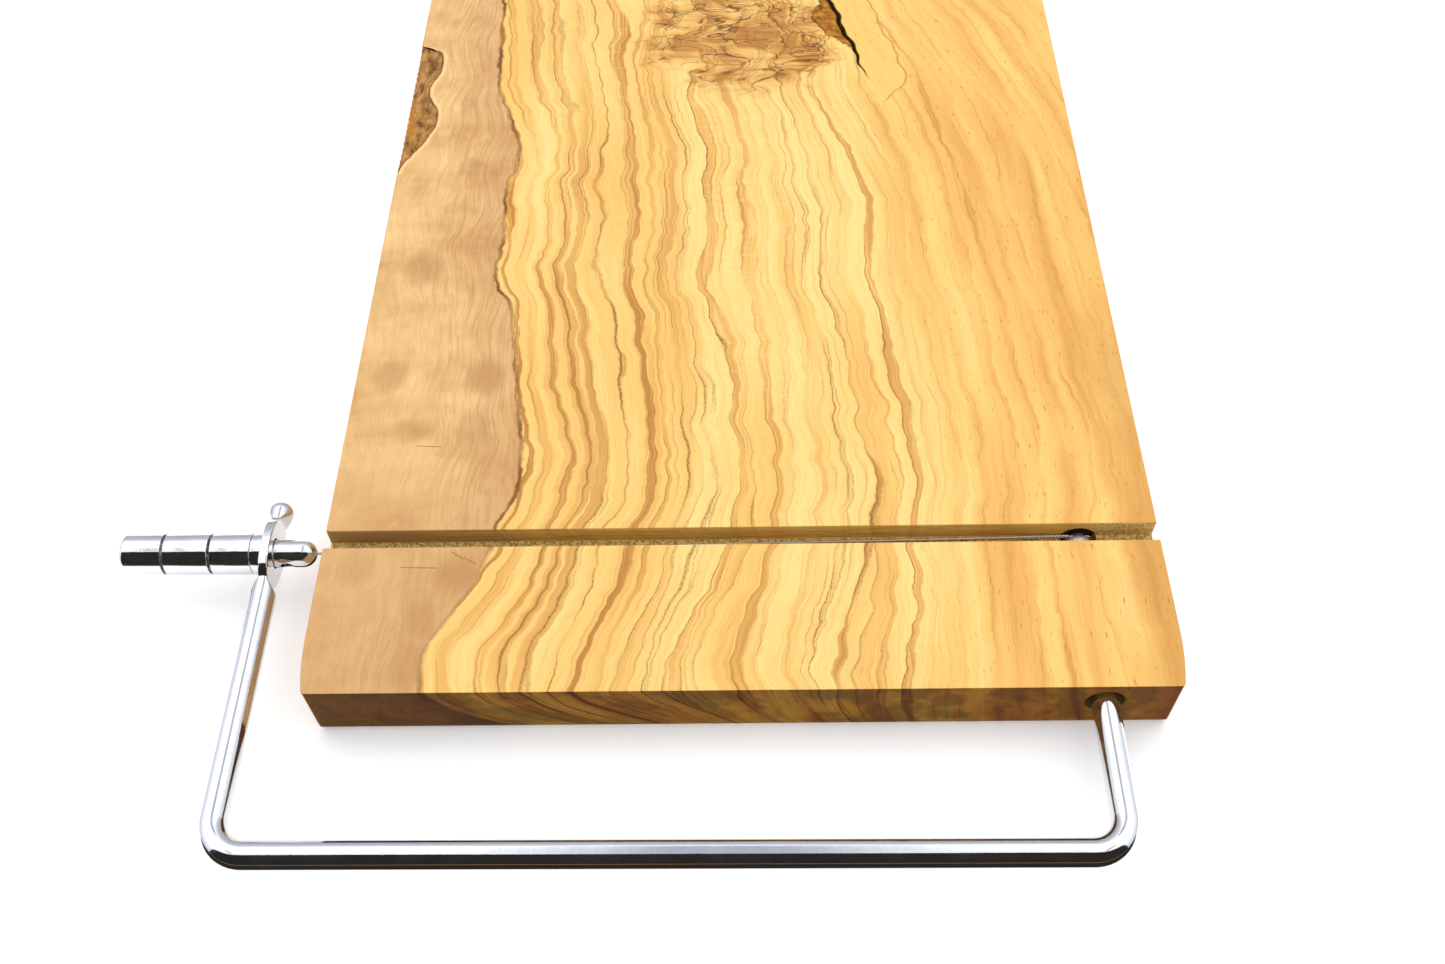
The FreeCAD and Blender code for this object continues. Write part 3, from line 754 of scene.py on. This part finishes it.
def olive_wood():
    """Olive wood as the tree grew it: lines follow the grain along Y through the whole thickness."""
    wood = Finish("oiled_olive_wood")
    x, y, z = wood.split(wood.in_millimetres())
    near_edge, inner, shear, gnarl, knotty = lay_of_grain(wood, x, y, z)
    inside, patch = growth_rings(wood, x, y, z, inner, shear, gnarl)
    inside = gnarl_marks(wood, x, y, z, inside, patch, gnarl, knotty)
    jag = wood.sway(wood.noise(x, y, z, (2.2, 1.8, 4), 2.0, 0.6), 1.4)
    inside = crack_and_amber(wood, x, y, z, inside, jag)
    left = bark_patch(wood, x, y, z, tan_wood(wood, x, y, z, near_edge), jag)

    # Both sides meet in a thin dark line.
    colour = wood.mix(wood.smooth(near_edge, -0.25, 0.25), left, inside)
    rim = wood.smooth(wood.math("ABSOLUTE", near_edge), 0.95, 0.15)
    rim = wood.times(rim, wood.smooth(wood.noise(x, y, z, (6, 14, 10), 1.0), 0.34, 0.62, 0.4, 0.95),
                     wood.smooth(y, -100.0, -118.0, 1.0, 0.45))
    colour = wood.mix(rim, colour, grain_tone(116, 74, 40))
    colour = knife_marks(wood, x, y, colour)

    # Fibres and pores.
    fibre = wood.noise(inner, y, z, (0.5, 14, 0.5), 2.0, 0.7)
    colour = wood.mix(wood.smooth(fibre, 0.32, 0.75, 0.0, 0.16), colour, grain_tone(170, 116, 58))
    pore = wood.noise(inner, y, z, (0.45, 3.0, 0.45), 0.0)
    pore = wood.times(wood.smooth(pore, 0.74, 0.80), wood.smooth(inner, 96.0, 125.0, 0.2, 0.6))
    colour = wood.mix(pore, colour, grain_tone(176, 108, 44))
    colour, rough = cut_faces(wood, x, y, z, inner, near_edge, colour)
    # Painted shade at the bore's mouth and inside it.
    colour = bore_mouth_shade(wood, x, y, z, colour)
    height = wood.add(wood.times(fibre, 0.5), wood.times(pore, -1.0), rough)
    return wood.shade(Base_Color=colour, Roughness=wood.smooth(fibre, 0.2, 0.8, 0.42, 0.56),
                      Specular_IOR_Level=0.04, Normal=wood.bump(height, 0.25, 0.00012))


slab = show("board_slab", worn_slab())
carve(slab, [crack_cutter(), bark_cutter()])
slab.data.materials.clear()
slab.data.materials.append(olive_wood())
slab.data.shade_smooth()
slab.data.set_sharp_from_angle(angle=math.radians(32))
keep_flat(slab.data)
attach(slab, "board")
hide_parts("board")


# Bow. One bar of quarter-inch steel rod, bent twice, domed at the tip that turns in the board, forged
# flat into an eye at the other end with a stub left round beyond it, and chromed all over.
rod_radius = 3.15
leg_spacing = 195.7
crossbar_y = -185.4
bend_radius = 8.0
tip_y = -105.1
stud_y = -109.45
eye_half_thickness = 1.15
eye_flat = 8.6
eye_half_length = 9.6
eye_half_height = 6.2
eye_hole_radius = 3.63
shoulder_slope = 2.0 / 2.8
stub_centre = 11.7
wire_hole = (-106.92, 2.2, 0.4)
stud_axis = [joint for joint in frame["joints"] if joint["name"] == "handle_turn"][0]["axis"]
tilt = math.asin(stud_axis[2])
bow_place = (Matrix.Translation((bore_x / 1000, 0.0, bore_z / 1000)) @ Matrix.Rotation(tilt, 4, "Y")
             @ Matrix.Diagonal((0.001, 0.001, 0.001, 1.0)))


def rod_section(height, thickness, count=96):
    """Points round the rod: round, or flattened to a thickness across and spread to a height."""
    fine = []
    for step in range(720):
        angle = 2 * math.pi * (step + 0.5) / 720
        reach = rod_radius
        if height > rod_radius:
            reach = max(reach, height / abs(math.sin(angle)))
        if thickness:
            side = thickness / abs(math.cos(angle))
            reach = (reach ** -14 + side ** -14) ** (-1 / 14)
        fine.append((reach * math.cos(angle), reach * math.sin(angle)))
    lengths = [0.0]
    for first, second in zip(fine, fine[1:] + fine[:1]):
        lengths.append(lengths[-1] + math.dist(first, second))
    points = []
    at = 0
    for step in range(count):
        wanted = lengths[-1] * step / count
        while lengths[at + 1] < wanted:
            at += 1
        share = (wanted - lengths[at]) / (lengths[at + 1] - lengths[at])
        first, second = fine[at], fine[(at + 1) % 720]
        points.append((first[0] + share * (second[0] - first[0]), first[1] + share * (second[1] - first[1])))
    return points


def bow_rings():
    """Every ring of the bow from its tip to its stub, in millimetres on the bow's own flat."""
    rings = []

    def ring(centre, outward, section, size=1.0):
        rings.append([(centre[0] + outward[0] * across * size, centre[1] + outward[1] * across * size,
                       up * size) for across, up in section])

    def bend(centre_x, out_from, out_to, steps=24):
        """A quarter turn of the plain rod, with its outward side going from one direction to the next."""
        centre_y = crossbar_y + bend_radius
        for step in range(1, steps + 1):
            turn = math.pi / 2 * step / steps
            out = (out_from[0] * math.cos(turn) + out_to[0] * math.sin(turn),
                   out_from[1] * math.cos(turn) + out_to[1] * math.sin(turn))
            ring((centre_x + bend_radius * out[0], centre_y + bend_radius * out[1]), out, plain)

    # The domed tip and the leg that turns in the board.
    plain = rod_section(0, 0)
    dome_y = tip_y - rod_radius
    dome_steps = 12
    for step in range(1, dome_steps + 1):
        turn = math.pi / 2 * step / dome_steps
        ring((0, dome_y + rod_radius * math.cos(turn)), (1, 0), plain, math.sin(turn))
    leg_foot = crossbar_y + bend_radius
    leg_steps = 24
    for step in range(1, leg_steps + 1):
        ring((0, dome_y + (leg_foot - dome_y) * step / leg_steps), (1, 0), plain)

    # The crossbar between its two bends.
    bend(-bend_radius, (1, 0), (0, -1))
    bar_steps = 40
    for step in range(1, bar_steps + 1):
        ring((-bend_radius + (2 * bend_radius - leg_spacing) * step / bar_steps, crossbar_y), (0, -1), plain)
    bend(bend_radius - leg_spacing, (0, -1), (-1, 0))

    # The handle's leg, the forged eye and the stub left round beyond it.
    eye_run = 16.0
    eye_start = stud_y - eye_run
    far_leg_steps = 16
    for step in range(1, far_leg_steps + 1):
        ring((-leg_spacing, leg_foot + (eye_start - leg_foot) * step / far_leg_steps), (-1, 0), plain)
    eye_steps = 104
    for step in range(1, eye_steps + 1):
        along = -eye_run + (eye_run + stub_centre) * step / eye_steps
        height = eye_half_height * math.sqrt(max(0.0, 1 - (along / eye_half_length) ** 2))
        past = max(0.0, abs(along) - eye_flat)
        thickness = eye_half_thickness + shoulder_slope * past
        section = plain if thickness > 5.0 else rod_section(height, thickness)
        ring((-leg_spacing, stud_y + along), (-1, 0), section)
    for step in range(1, dome_steps):
        turn = math.pi / 2 * step / dome_steps
        ring((-leg_spacing, stud_y + stub_centre + rod_radius * math.sin(turn)), (-1, 0), plain,
             math.cos(turn))
    return rings


def skin(name, rings, start, end):
    """A closed skin over rings of points, with a pole at each end, placed on the bow."""
    count = len(rings[0])
    points = [start] + [point for ring in rings for point in ring] + [end]
    last = len(points) - 1
    faces = []
    for side in range(count):
        beside = (side + 1) % count
        faces.append((0, 1 + side, 1 + beside))
        faces.append((last, last - count + beside, last - count + side))
        for row in range(len(rings) - 1):
            here = 1 + row * count
            faces.append((here + side, here + side + count, here + beside + count, here + beside))
    return closed_mesh(name, [bow_place @ Vector(point) for point in points], faces)


def turned(name, outline, count=128):
    """A piece turned on the stud's line from (along, radius) points; its ends are closed or meet."""
    points = []
    rows = []
    for along, radius in outline:
        if radius < 1e-6:
            rows.append([len(points)] * count)
            points.append(Vector((along, stud_y, 0)))
            continue
        rows.append(list(range(len(points), len(points) + count)))
        for side in range(count):
            angle = 2 * math.pi * side / count
            points.append(Vector((along, stud_y + radius * math.cos(angle), radius * math.sin(angle))))
    ring_shaped = outline[0][1] > 1e-6
    pairs = list(zip(rows, rows[1:] + rows[:1])) if ring_shaped else list(zip(rows, rows[1:]))
    faces = []
    for row, after in pairs:
        for side in range(count):
            beside = (side + 1) % count
            corners = []
            for index in (row[side], row[beside], after[beside], after[side]):
                if index not in corners:
                    corners.append(index)
            faces.append(corners)
    return closed_mesh(name, [bow_place @ point for point in points], faces)


def eased(outline, size, closed=False):
    """An outline with each corner rounded to about size."""
    made = []
    total = len(outline)
    for index, corner in enumerate(outline):
        if not closed and index in (0, total - 1):
            made.append(corner)
            continue
        here = Vector(corner)
        before = Vector(outline[index - 1])
        after = Vector(outline[(index + 1) % total])
        first = here + (before - here).normalized() * min(size, (before - here).length * 0.45)
        last = here + (after - here).normalized() * min(size, (after - here).length * 0.45)
        for step in range(4):
            share = step / 3
            spot = first * (1 - share) ** 2 + here * 2 * share * (1 - share) + last * share ** 2
            made.append((spot.x, max(0.0, spot.y)))
    return made


def bright_chrome():
    """Polished plate with a faint haze and small waves left by polishing, and rubbed dull at its tip."""
    chrome = Finish("bright_chrome")
    x, y, z = chrome.split(chrome.in_millimetres())
    haze = chrome.noise(x, y, z, (7, 7, 7), 3.0, 0.6)
    waves = chrome.noise(x, y, z, (5, 5, 5), 2.0, 0.5)
    orange_peel = chrome.noise(x, y, z, (0.7, 0.7, 0.7), 2.0, 0.6)
    specks = chrome.smooth(chrome.noise(x, y, z, (0.5, 0.5, 0.5), 1.0), 0.70, 0.78)
    height = chrome.add(waves, chrome.times(orange_peel, 0.30), chrome.times(specks, 0.30))
    rubbed = chrome.times(chrome.smooth(y, -109.5, -108.0), chrome.smooth(x, 70.0, 75.0))
    colour = chrome.mix(haze, tone(212, 215, 221), tone(228, 229, 233))
    return chrome.shade(Base_Color=chrome.mix(chrome.times(specks, 0.5), colour, tone(150, 148, 146)),
                        Metallic=1.0, Roughness=chrome.add(chrome.smooth(haze, 0.3, 0.75, 0.035, 0.11),
                                                           chrome.times(rubbed, 0.38)),
                        Normal=chrome.bump(height, 0.10, 0.0002))


def finish_metal(thing, material, body, node, crisp):
    """Give a metal piece its finish, keep edges over crisp degrees sharp, and tie it to its CAD node."""
    thing.data.materials.clear()
    thing.data.materials.append(material)
    thing.data.shade_smooth()
    thing.data.set_sharp_from_angle(angle=math.radians(crisp))
    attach(thing, body)
    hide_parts(node)


chrome_plate = bright_chrome()
rod = show("bow_rod", skin("bow_rod", bow_rings(), (0, tip_y, 0),
                           (-leg_spacing, stud_y + stub_centre + rod_radius, 0)))
eye_faces = (-leg_spacing - eye_half_thickness, -leg_spacing + eye_half_thickness)
eye_drill = turned("eye_drill", [(eye_faces[0] - 3, 0), (eye_faces[0] - 3, 4.0), (eye_faces[0] - 0.02, 3.95),
                                 (eye_faces[0] + 0.3, eye_hole_radius), (eye_faces[1] - 0.3, eye_hole_radius),
                                 (eye_faces[1] + 0.02, 3.95), (eye_faces[1] + 3, 4.0), (eye_faces[1] + 3, 0)])


def wire_drill():
    """The small cross drill for the wire's hole by the rod's tip."""
    y, up, radius = wire_hole
    rings = []
    for along in (-4.5, -3.5, 0.0, 3.5, 4.5):
        rings.append([(along, y + radius * math.cos(turn * math.pi / 12),
                       up + radius * math.sin(turn * math.pi / 12)) for turn in range(24)])
    return skin("wire_drill", rings, (-4.5, y, up), (4.5, y, up))


carve(rod, [eye_drill, wire_drill()])
finish_metal(rod, chrome_plate, "bow", "bow", 40)


# Tension stud. A turned round-nosed pin that slides through the eye, with a keyhole drilled and sawn in
# its nose for the wire, and a threaded shank that the handle pulls on.
nose_radius = 3.32
nose_tip = -184.7
nose_centre = nose_tip - nose_radius
stud_shoulder = -198.25
shank_end = -221.25
shank_radius = 2.9
anchor_x = -191.6
thread_pitch = 1.0


def stud_outline():
    """The stud from its round nose to the end of its threaded shank, as (along, radius) points."""
    outline = [(nose_tip, 0.0)]
    for step in range(1, 17):
        turn = math.pi / 2 * step / 16
        outline.append((nose_centre + nose_radius * math.cos(turn), nose_radius * math.sin(turn)))
    outline += [(-194.0, nose_radius), (stud_shoulder + 0.15, nose_radius),
                (stud_shoulder, nose_radius - 0.15), (stud_shoulder, shank_radius)]
    along = stud_shoulder - 0.6
    while along > shank_end + 1.2:
        outline += [(along, shank_radius), (along - 0.5 * thread_pitch, shank_radius - 0.42)]
        along -= thread_pitch
    outline += [(shank_end + 0.5, shank_radius), (shank_end, shank_radius - 0.5), (shank_end, 0.0)]
    return outline


def keyhole_cutters():
    """The wire's bore along the nose, the round anchor hole in its side and the slot that joins them."""
    dip = Matrix.Translation((0, stud_y, 0)) @ Matrix.Rotation(math.radians(20), 4, "X")

    def pin(name, start, end, radius, count=48):
        run = (end - start).normalized()
        aside = run.orthogonal().normalized()
        over = run.cross(aside)
        rings = []
        for spot in (start, end):
            rings.append([tuple(dip @ (spot + (aside * math.cos(2 * math.pi * turn / count)
                                               + over * math.sin(2 * math.pi * turn / count)) * radius))
                          for turn in range(count)])
        return skin(name, rings, tuple(dip @ start), tuple(dip @ end))

    anchor = pin("anchor_hole", Vector((anchor_x, 1.4, 0)), Vector((anchor_x, -4.4, 0)), 1.8)
    bore = pin("wire_bore", Vector((anchor_x - 3.8, 0, 0)), Vector((nose_tip + 1, 0, 0)), 0.7, 24)
    half = 0.65
    corners = [dip @ Vector((x, y, z)) for x in (anchor_x, nose_tip + 1) for y in (-4.4, 0.0)
               for z in (-half, half)]
    slot = closed_mesh("key_slot", [bow_place @ corner for corner in corners],
                       [(0, 1, 3, 2), (4, 6, 7, 5), (0, 4, 5, 1), (2, 3, 7, 6), (0, 2, 6, 4), (1, 5, 7, 3)])
    return [anchor, bore, slot]


def turned_chrome():
    """Chrome over turned steel: fine tool rings round the axis, and rusty dirt with painted shade darkening
    the grip grooves.
    """
    metal = Finish("turned_chrome")
    x, y, z = metal.split(metal.in_millimetres())
    rings = metal.noise(x, 0.0, 0.0, (0.16, 1, 1), 2.0, 0.7)
    haze = metal.noise(x, y, z, (5, 3, 3), 3.0, 0.6)
    peel = metal.noise(x, y, z, (0.6, 0.6, 0.6), 2.0, 0.6)
    radius_y = metal.less(y, stud_y)
    rise = metal.less(z, metal.math("MULTIPLY_ADD", x, -math.tan(tilt), bore_z + bore_x * math.tan(tilt)))
    radius = metal.math("SQRT", metal.add(metal.times(radius_y, radius_y), metal.times(rise, rise)))
    # Rusty dirt and painted shade darken the grip grooves, near black in patches.
    in_grip = metal.times(metal.smooth(radius, 4.98, 4.62), metal.smooth(radius, 4.2, 4.45),
                          metal.smooth(x, -117.72, -118.2))
    stain = metal.smooth(metal.noise(x, y, z, (1.2, 1.5, 1.5), 3.0, 0.7), 0.30, 0.62, 0.55, 1.0)
    groove_dirt_and_shade = metal.times(in_grip, stain)
    colour = metal.mix(haze, tone(214, 217, 223), tone(229, 230, 234))
    rust = metal.ramp(metal.noise(x, y, z, (0.9, 0.9, 0.9), 2.0),
                      [(0.42, tone(16, 13, 10)), (0.66, tone(92, 60, 28))])
    height = metal.add(rings, metal.times(peel, 1.4), metal.times(groove_dirt_and_shade, 2.0))
    return metal.shade(Base_Color=metal.mix(groove_dirt_and_shade, colour, rust),
                       Metallic=metal.less(1.0, metal.times(groove_dirt_and_shade, 0.9)),
                       Roughness=metal.add(metal.smooth(haze, 0.3, 0.75, 0.05, 0.13), metal.times(groove_dirt_and_shade, 0.4)),
                       Normal=metal.bump(height, 0.06, 0.0001))


turned_plate = turned_chrome()
stud = show("stud_pin", turned("stud_pin", stud_outline()))
carve(stud, keyhole_cutters())
finish_metal(stud, turned_plate, "stud", "tension_stud", 30)


# Thrust collar and handle. A plain ring bears on the eye; the handle behind it is a bar turned to size,
# with two grip grooves, and bored blind and tapped for the stud's shank.
handle_radius = 5.1
eye_outer = eye_faces[0]
collar_end = eye_outer - 2.8
handle_end = collar_end - 0.1
handle_far = handle_end - 31.4
handle_bore = 2.98
bore_end = -224.25
grip_middles = (9.95, 21.25)
grip_half_width = 0.32
grip_radius = 4.5

collar_outline = eased([(eye_outer, eye_hole_radius), (eye_outer, handle_radius), (collar_end, handle_radius),
                        (collar_end, eye_hole_radius)], 0.16, closed=True)
collar = show("collar_ring", turned("collar_ring", collar_outline))
finish_metal(collar, turned_plate, "bow", "thrust_collar", 30)

grip_points = [(handle_end, handle_bore + 0.3), (handle_end, handle_radius)]
for middle in grip_middles:
    near = handle_end - middle + grip_half_width
    far = handle_end - middle - grip_half_width
    grip_points += [(near, handle_radius), (near, grip_radius), (far, grip_radius), (far, handle_radius)]
grip_outline = [(bore_end, 0.0), (bore_end, handle_bore), (handle_end - 0.3, handle_bore)]
grip_outline += eased(grip_points, 0.2)
rim_round = 1.0
for step in range(9):
    turn = math.pi / 2 * step / 8
    grip_outline.append((handle_far + rim_round - rim_round * math.sin(turn),
                         handle_radius - rim_round + rim_round * math.cos(turn)))
grip_outline += [(handle_far, 2.0), (handle_far, 0.0)]
grip = show("handle_grip", turned("handle_grip", grip_outline))
finish_metal(grip, turned_plate, "handle", "handle", 30)


# Cutting wire. One length of thin stainless wire: looped through the rod's cross hole and under its
# tip, twisted back on itself for a few turns, then straight to the stud and twisted again in its nose.
wire_radius = 0.25
loop_half = 2.35
wire_start = Vector((-loop_half, wire_hole[0], wire_hole[1]))
neck_start = Vector((nose_tip + 2.2, stud_y, 0.0))
twist_run = 13.0


def twist_tree():
    """Nodes that lay strands of wire round one another along X."""
    tree = bpy.data.node_groups.new("twisted_wire", "GeometryNodeTree")
    face = tree.interface
    face.new_socket("Geometry", in_out="INPUT", socket_type="NodeSocketGeometry")
    for name, kind in (("Length", "Float"), ("Turns", "Float"), ("Strand radius", "Float"),
                       ("Lay radius", "Float"), ("Strands", "Int"), ("Steps", "Int"),
                       ("Material", "Material")):
        face.new_socket(name, in_out="INPUT", socket_type="NodeSocket" + kind)
    face.new_socket("Geometry", in_out="OUTPUT", socket_type="NodeSocketGeometry")
    given = tree.nodes.new("NodeGroupInput").outputs

    def wired(node, values):
        """The node's output, once its sockets are wired or set."""
        for socket, value in values:
            if isinstance(value, bpy.types.NodeSocket):
                tree.links.new(value, socket)
            else:
                socket.default_value = value
        return node.outputs[0]

    def step(kind, **values):
        node = tree.nodes.new(kind)
        return wired(node, [(node.inputs[name.replace("_", " ")], value) for name, value in values.items()])

    def reckon(operation, *values):
        node = tree.nodes.new("ShaderNodeMath")
        node.operation = operation
        return wired(node, zip(node.inputs, values))

    # One strand: a line that winds round the X axis, with the wire's round section drawn along it.
    line = step("GeometryNodeCurvePrimitiveLine", End=step("ShaderNodeCombineXYZ", X=given["Length"]))
    fine = step("GeometryNodeResampleCurve", Curve=line, Count=given["Steps"])
    whole = reckon("MULTIPLY", given["Turns"], 2 * math.pi)
    turn = reckon("MULTIPLY", step("GeometryNodeSplineParameter"), whole)
    aside = step("ShaderNodeCombineXYZ", Y=reckon("MULTIPLY", reckon("COSINE", turn), given["Lay radius"]),
                 Z=reckon("MULTIPLY", reckon("SINE", turn), given["Lay radius"]))
    wound = step("GeometryNodeSetPosition", Geometry=fine, Offset=aside)
    section = step("GeometryNodeCurvePrimitiveCircle", Resolution=16, Radius=given["Strand radius"])
    strand = step("GeometryNodeCurveToMesh", Curve=wound, Profile_Curve=section, Fill_Caps=True)

    # The strands, each turned on by its share of a circle.
    spots = step("GeometryNodePoints", Count=given["Strands"], Position=(0, 0, 0))
    apart = reckon("DIVIDE", 2 * math.pi, given["Strands"])
    spin = step("ShaderNodeCombineXYZ", X=reckon("MULTIPLY", step("GeometryNodeInputIndex"), apart))
    laid = step("GeometryNodeInstanceOnPoints", Points=spots, Rotation=spin,
                Instance=step("GeometryNodeGeometryToInstance", Geometry=strand))
    real = step("GeometryNodeRealizeInstances", Geometry=laid)
    painted = step("GeometryNodeSetMaterial", Geometry=real, Material=given["Material"])
    tree.links.new(painted, tree.nodes.new("NodeGroupOutput").inputs[0])
    return tree


def strands(tree, material, start, end, turns, count, lay, steps):
    """Mesh of wire strands laid from start to end, in millimetres on the bow's own flat."""
    run = end - start
    host = show("strand_host", bpy.data.meshes.new("strand_host"))
    layer = host.modifiers.new("twist", "NODES")
    layer.node_group = tree
    wanted = {"Length": run.length, "Turns": float(turns), "Strand radius": wire_radius, "Lay radius": lay,
              "Strands": count, "Steps": steps, "Material": material}
    for item in tree.interface.items_tree:
        if item.item_type == "SOCKET" and item.in_out == "INPUT" and item.name in wanted:
            layer[item.identifier] = wanted[item.name]
    made = settled(host)
    bpy.data.objects.remove(host)
    towards = run.to_track_quat("X", "Z").to_matrix().to_4x4()
    made.transform(bow_place @ Matrix.Translation(start) @ towards)
    return made


def loop_mesh(count=16):
    """The closed turn of wire through the rod's hole and round under its tip."""
    y, up, _ = wire_hole
    round_rod = math.hypot(loop_half, up)
    first = math.atan2(up, loop_half)
    sweep = math.pi + 2 * first
    path = [Vector((-loop_half + 2 * loop_half * step / 8, y, up)) for step in range(8)]
    for step in range(40):
        angle = first - sweep * step / 40
        path.append(Vector((round_rod * math.cos(angle), y, round_rod * math.sin(angle))))
    total = len(path)
    aside = Vector((0, 1, 0))
    points = []
    for index, spot in enumerate(path):
        run = (path[(index + 1) % total] - path[index - 1]).normalized()
        over = run.cross(aside)
        for turn in range(count):
            angle = 2 * math.pi * turn / count
            reach = (aside * math.cos(angle) + over * math.sin(angle)) * wire_radius
            points.append(bow_place @ (spot + reach))
    faces = []
    for row in range(total):
        after = (row + 1) % total
        for side in range(count):
            beside = (side + 1) % count
            faces.append((row * count + side, row * count + beside, after * count + beside,
                          after * count + side))
    return closed_mesh("loop_mesh", points, faces)


def drawn_wire():
    """Drawn stainless wire, a little duller than the plate, with faint lengthwise draw marks."""
    metal = Finish("drawn_wire")
    x, y, z = metal.split(metal.in_millimetres())
    marks = metal.noise(x, y, z, (6, 0.08, 0.08), 1.0)
    return metal.shade(Base_Color=metal.mix(marks, tone(196, 195, 192), tone(232, 231, 229)), Metallic=1.0,
                       Roughness=metal.smooth(marks, 0.3, 0.7, 0.20, 0.32))


def joined(name, meshes):
    """Several meshes as one."""
    work = bmesh.new()
    for mesh in meshes:
        work.from_mesh(mesh)
    bmesh.ops.recalc_face_normals(work, faces=work.faces)
    made = bpy.data.meshes.new(name)
    work.to_mesh(made)
    work.free()
    return made


steel = drawn_wire()
twist = twist_tree()
wire_line = (neck_start - wire_start).normalized()
twist_end = wire_start + wire_line * twist_run
anchor_end = Vector((-193.13, stud_y, 0.0))
wire_parts = [
    loop_mesh(),
    strands(twist, steel, wire_start, twist_end, 8, 2, wire_radius, 160),
    strands(twist, steel, twist_end - wire_line * 0.4, neck_start, 0, 1, 0.0, 40),
    strands(twist, steel, neck_start, Vector((nose_tip - 1.0, stud_y, 0.0)), 2, 2, 0.165, 40),
    strands(twist, steel, neck_start, anchor_end, 0, 1, 0.0, 12),
]
wire = show("wire_strand", joined("wire_strand", wire_parts))
wire.data.materials.clear()
wire.data.materials.append(steel)
wire.data.shade_smooth()
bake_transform(wire)
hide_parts("cutting_wire")


# Ferrule. A short barrel of soft steel, turned and bored, and pressed on the wire's end. The stud's
# keyhole holds it.
ferrule_span = (-192.53, -190.13)
ferrule_radius = 0.95
ferrule_bore = 0.4
ferrule_outline = eased([(ferrule_span[0], ferrule_bore), (ferrule_span[0], ferrule_radius),
                         (ferrule_span[1], ferrule_radius), (ferrule_span[1], ferrule_bore)],
                        0.15, closed=True)
ferrule = show("ferrule_barrel", turned("ferrule_barrel", ferrule_outline, 48))
finish_metal(ferrule, steel, "stud", "wire_ferrule", 30)
